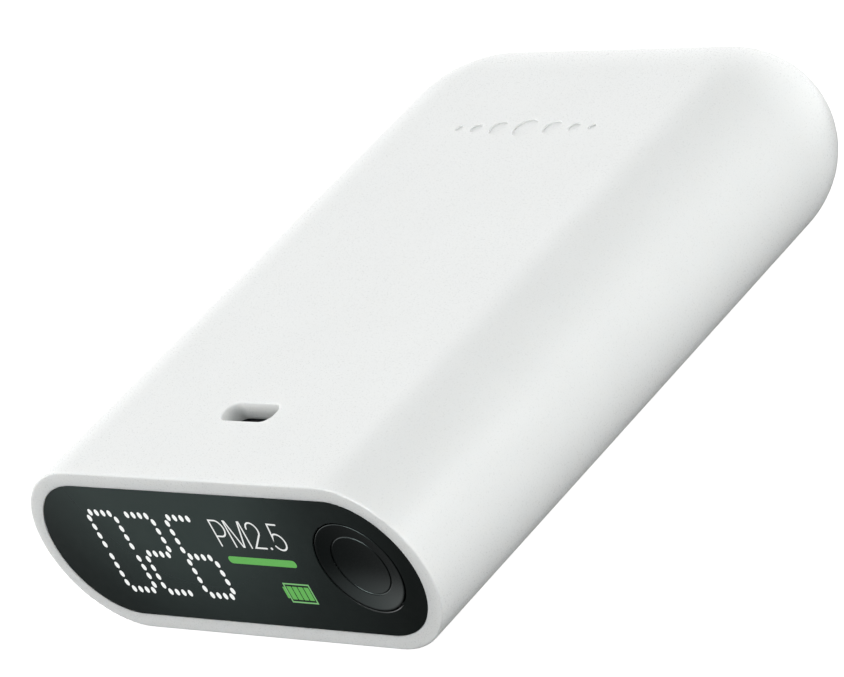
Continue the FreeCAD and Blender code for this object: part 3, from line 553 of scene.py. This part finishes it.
def battery_icon():
    """Outline with its nub at the left, and four charge bars inside."""
    low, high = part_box("battery_icon_guide")
    x0, x1 = low.x + 0.36 * MM, high.x - 0.12 * MM
    z0, z1 = low.z + 0.10 * MM, high.z - 0.08 * MM
    line = 0.19 * MM
    middle = (z0 + z1) / 2
    left, right, foot, head = x0 + line / 2, x1 - line / 2, z0 + line / 2, z1 - line / 2
    corners = [(left, middle), (left, head), (right, head), (right, foot), (left, foot), (left, middle)]
    bm = bmesh.new()
    stroke(bm, corners, line, *LIT_Y)
    add_piece("battery_outline_light", bm, PALE_GREEN_GLOW)
    bars, side_gap, end_gap = 4, 0.15 * MM, 0.26 * MM
    inner = (x0 + line + side_gap, x1 - line - side_gap)
    width = (inner[1] - inner[0] - side_gap * (bars - 1)) / bars
    bar_foot, bar_head = z0 + line + end_gap, z1 - line - end_gap
    nub = 0.8 * MM
    bm = bmesh.new()
    plate(bm, rounded_box(low.x, x0 - 0.03 * MM, middle - nub, middle + nub, 0.12 * MM), *LIT_Y)
    for i in range(bars):
        start = inner[0] + i * (width + side_gap)
        plate(bm, rounded_box(start, start + width, bar_foot, bar_head, 0.08 * MM), *LIT_Y)
    add_piece("battery_charge_light", bm, GREEN_GLOW)


# ---- woven wire over the air openings ------------------------------------------------------------
def weave(name, patches, wire, replaced):
    """Plain-woven wire cloth: each patch is (place, wires_across, wires_along), place(u, v, lift) a point."""
    curve = bpy.data.curves.new(name, "CURVE")
    curve.dimensions = "3D"
    curve.bevel_depth = wire
    curve.bevel_resolution = 1
    curve.resolution_u = 3
    curve.use_fill_caps = True

    def add_wire(points):
        spline = curve.splines.new("NURBS")
        spline.points.add(len(points) - 1)
        for knot, point in zip(spline.points, points):
            knot.co = (*point, 1.0)
        spline.use_endpoint_u = True
        spline.order_u = 3

    for place, across, along in patches:
        rows = [(i + 0.5) / across for i in range(across)]
        columns = [(j + 0.5) / along for j in range(along)]
        for i, u in enumerate(rows):
            knots = [place(u, v, wire * (-1) ** (i + j)) for j, v in enumerate(columns)]
            add_wire([place(u, 0.0, 0.0)] + knots + [place(u, 1.0, 0.0)])
        for j, v in enumerate(columns):
            knots = [place(u, v, -wire * (-1) ** (i + j)) for i, u in enumerate(rows)]
            add_wire([place(0.0, v, 0.0)] + knots + [place(1.0, v, 0.0)])
    obj = bpy.data.objects.new(name, curve)
    bpy.context.scene.collection.objects.link(obj)
    curve.materials.append(MATERIALS["mesh_steel"])
    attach(obj, "housing")
    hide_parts(replaced)


def dust_cloth():
    """Flat cloth under the air inlet."""
    low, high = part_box("dust_mesh")
    middle = (low.z + high.z) / 2

    def place(u, v, lift):
        return Vector((low.x + (high.x - low.x) * u, low.y + (high.y - low.y) * v, middle + lift))

    weave("dust_cloth", [(place, 32, 17)], 0.055 * MM, "dust_mesh")


def outlet_cloths():
    """Cloth behind each group of rear vents, bent to the inside of the rounded end."""
    low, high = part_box("outlet_mesh")
    radius = 8.75 * MM
    axis_y = high.y - radius
    half_turn = math.asin((high.z - low.z) / 2 / radius)
    inner = 6.8 * MM

    def side_place(side):
        def place(u, v, lift):
            turn = half_turn * (2 * v - 1)
            x = side * (inner + (high.x - inner) * u)
            reach = radius - 0.12 * MM + lift
            return Vector((x, axis_y + reach * math.cos(turn), MID_Z + reach * math.sin(turn)))
        return place

    weave("outlet_cloths", [(side_place(side), 21, 20) for side in (-1, 1)], 0.06 * MM, "outlet_mesh")


# ---- charging socket contacts --------------------------------------------------------------------
def usb_contacts():
    """Gold-plated contact strips on both faces of the socket's tongue, a row of twelve on each."""
    tongue_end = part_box("usb_tongue")[1].y
    pitch, count = 0.5 * MM, 12
    half_tongue, set_back = 0.35 * MM, 2.0 * MM
    size = Vector((0.27 * MM, 3.2 * MM, 0.05 * MM))
    bm = bmesh.new()
    for side in (-1, 1):
        for i in range(count):
            strip = bmesh.ops.create_cube(bm, size=1.0)["verts"]
            bmesh.ops.scale(bm, vec=size, verts=strip)
            place = ((i - (count - 1) / 2) * pitch, tongue_end - set_back, MID_Z + side * half_tongue)
            bmesh.ops.translate(bm, vec=place, verts=strip)
    bmesh.ops.bevel(bm, geom=bm.edges[:], offset=0.015 * MM, segments=2, affect="EDGES")
    add_piece("usb_contacts", bm, MATERIALS["brass"])


button_cap()
for digit_name, figure in zip(DIGITS, "026"):
    digit(digit_name, figure)
legend()
status_bar()
battery_icon()
dust_cloth()
outlet_cloths()
usb_contacts()


# ---- stage: floor, light, camera -----------------------------------------------------------------
# brightness of the studio's walls as (height, level): nadir 0, horizon 0.5, zenith 1
BACK_WALL = ((0.28, 0.05), (0.36, 0.77), (0.60, 1.0), (0.74, 1.0), (1.0, 0.3))
FRONT_WALL = ((0.55, 0.0), (0.72, 0.16), (1.0, 0.3))
FRONT_TO_BACK = (-0.80, 0.60, 0.0)       # level direction from the dim wall to the bright one
WALL_BLEND = 0.85                        # half of the way over which one wall turns into the other
DOME_LIGHT = 1.63
LAMP_SIZE = 0.35
LAMPS = {                                # place in metres, then watts
    "side_light": ((0.62, 0.10, 0.22), 2.5),
    "front_light": ((-0.20, -0.62, 0.26), 3.0),
    "low_light": ((0.55, 0.05, -0.18), 1.5),
}


def pale_paper(name, tone, glow):
    """Backlit paper with a faint fibre."""
    mat = moulded(name, (tone,) * 3, 0.9, tint=0.004, depth=0.0001 * MM)
    shader = mat.node_tree.nodes["Principled BSDF"]
    shader.inputs["Emission Color"].default_value = (1.0, 1.0, 1.0, 1.0)
    shader.inputs["Emission Strength"].default_value = glow
    return mat


def stage():
    """Round paper floor that sweeps up into a tall backdrop; the studio's light passes through both."""
    floor_paper = pale_paper("floor_paper", 0.35, 0.86)
    wall_paper = pale_paper("wall_paper", 0.35, 1.0)
    floor_z, reach, sweep, top = -0.02 * MM, 2.4, 0.6, 3.0
    flat = [(0.0, floor_z), (reach, floor_z)]
    rise = arc((reach, floor_z + sweep), sweep, -90, 0, 16) + [(reach + sweep, top)]
    for name, profile, paper in (("floor", flat, floor_paper), ("backdrop", rise, wall_paper)):
        bm = bmesh.new()
        spin(bm, profile, 96)
        mesh = bpy.data.meshes.new(name)
        bm.to_mesh(mesh)
        bm.free()
        mesh.shade_smooth()
        sheet = bpy.data.objects.new(name, mesh)
        bpy.context.scene.collection.objects.link(sheet)
        mesh.materials.append(paper)
        sheet.visible_glossy = sheet.visible_diffuse = sheet.visible_shadow = False


def along(tree, direction, axis, reach):
    """Position of a direction along an axis, mapped from -reach..reach to 0..1."""
    dot, node = tree.nodes.new("ShaderNodeVectorMath"), tree.nodes.new("ShaderNodeMapRange")
    dot.operation = "DOT_PRODUCT"
    dot.inputs[1].default_value = axis
    node.inputs["From Min"].default_value = -reach
    node.inputs["From Max"].default_value = reach
    tree.links.new(direction, dot.inputs[0])
    tree.links.new(dot.outputs["Value"], node.inputs["Value"])
    return node


def studio_walls():
    """Soft light from a bright band of wall behind the object, dim overhead and dark low in front."""
    world = bpy.data.worlds.new("studio")
    bpy.context.scene.world = world
    world.use_nodes = True
    tree = world.node_tree
    coords = tree.nodes.new("ShaderNodeTexCoord")
    height = along(tree, coords.outputs["Generated"], (0.0, 0.0, 1.0), 1.0)
    depth = along(tree, coords.outputs["Generated"], FRONT_TO_BACK, WALL_BLEND)
    depth.interpolation_type = "SMOOTHSTEP"
    both = tree.nodes.new("ShaderNodeMix")
    both.data_type = "RGBA"
    tree.links.new(depth.outputs["Result"], both.inputs["Factor"])
    front, back, mixed = both.inputs[6], both.inputs[7], both.outputs[2]     # its colour sockets
    for wall, socket in ((FRONT_WALL, front), (BACK_WALL, back)):
        stops = [(position, (level,) * 3) for position, level in wall]
        tree.links.new(ramp(tree, height.outputs["Result"], stops), socket)
    background = tree.nodes["Background"]
    tree.links.new(mixed, background.inputs["Color"])
    background.inputs["Strength"].default_value = DOME_LIGHT


def lights():
    """Square lamps turned towards the object."""
    for name, (place, watts) in LAMPS.items():
        data = bpy.data.lights.new(name, "AREA")
        data.shape = "SQUARE"
        data.size = LAMP_SIZE
        data.energy = watts
        lamp = bpy.data.objects.new(name, data)
        bpy.context.scene.collection.objects.link(lamp)
        lamp.location = place
        lamp.rotation_euler = (-Vector(place)).to_track_quat("-Z", "Y").to_euler()


def camera():
    """Long lens from the front right and a little above, rolled so that the object lies diagonally."""
    azimuth, elevation, roll = math.radians(52.87), math.radians(25.82), math.radians(-28.25)
    distance, aim = 0.576, Vector((-3.0, -4.15, 10.76)) * MM
    back = Vector((math.sin(azimuth) * math.cos(elevation), -math.cos(azimuth) * math.cos(elevation),
                   math.sin(elevation)))
    data = bpy.data.cameras.new("camera")
    data.sensor_width, data.lens = 36.0, 218.75
    data.clip_start, data.clip_end = 0.01, 20.0
    cam = bpy.data.objects.new("camera", data)
    bpy.context.scene.collection.objects.link(cam)
    turn = (-back).to_track_quat("-Z", "Y").to_matrix() @ Matrix.Rotation(roll, 3, "Z")
    cam.matrix_world = Matrix.Translation(aim + back * distance) @ turn.to_4x4()
    bpy.context.scene.camera = cam


stage()
studio_walls()
lights()
camera()
bpy.context.scene.view_settings.view_transform = "Standard"
